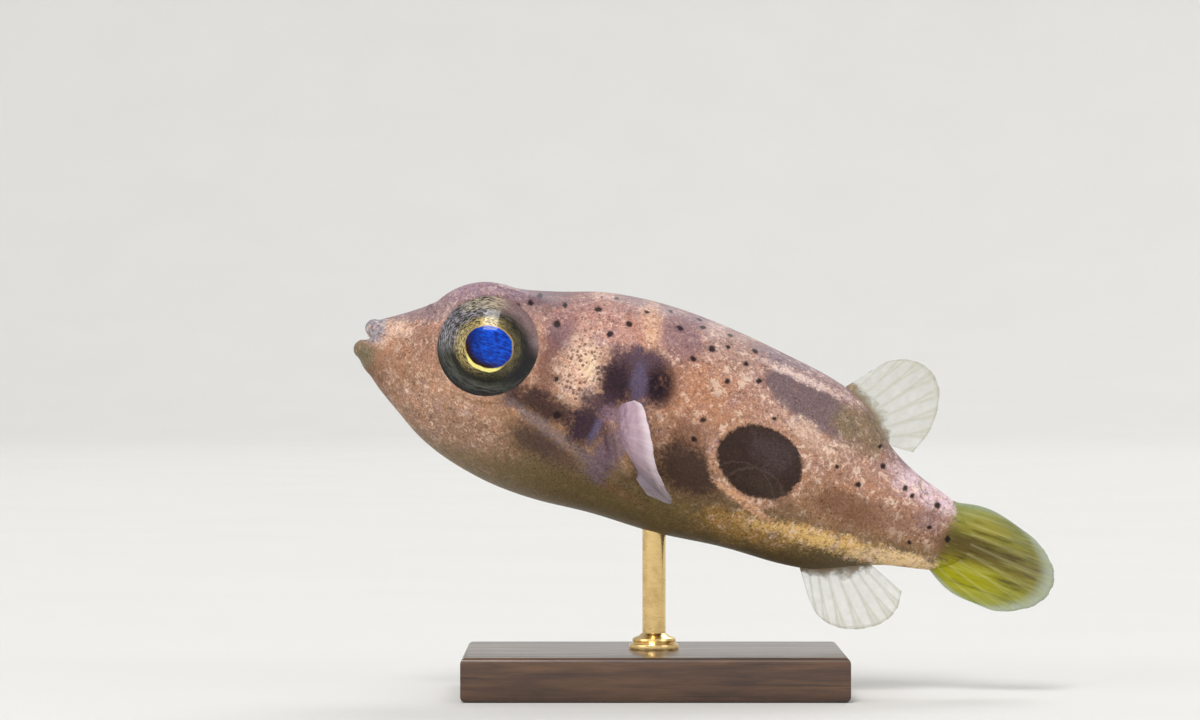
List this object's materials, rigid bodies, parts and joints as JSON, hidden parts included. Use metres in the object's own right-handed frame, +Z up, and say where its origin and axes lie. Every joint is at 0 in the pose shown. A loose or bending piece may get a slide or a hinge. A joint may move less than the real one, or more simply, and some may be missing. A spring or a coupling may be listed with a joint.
{
  "type": "freshwater pufferfish model",
  "caption": "Life-size dwarf freshwater pufferfish, nose raised, fins spread, held by one slim rod on a small flat display base.",
  "frame": {"origin": "centre of the stand's underside", "axes": "+Z up, the fish faces -X with its nose raised and its left flank is towards -Y"},
  "size_m": [0.024, 0.0114, 0.014],
  "materials": {
    "skin": "moist scaleless skin, tan with purple-brown blotches and small black dots",
    "beak": "ivory tooth plates",
    "eye": "clear glossy eye with a gold iris and a blue pupil",
    "fin": "clear membrane with fine pale rays",
    "tail_fin": "translucent olive-yellow membrane with fine dark rays",
    "stand_wood": "dark stained wood, satin lacquer",
    "stand_brass": "polished brass"
  },
  "bodies": {
    "root": {"head": "skin", "trunk": "skin", "belly": "skin", "tail_stalk": "skin", "lip_upper": "skin", "lip_lower": "skin", "beak_upper": "beak", "beak_lower": "beak", "eye_left": "eye", "eye_right": "eye", "dorsal_fin": "fin", "anal_fin": "fin", "pectoral_fin_left": "fin", "pectoral_fin_right": "fin", "tail_fin": "tail_fin", "stand_base": "stand_wood", "stand_ferrule": "stand_brass", "stand_rod": "stand_brass"}
  },
  "joints": []
}
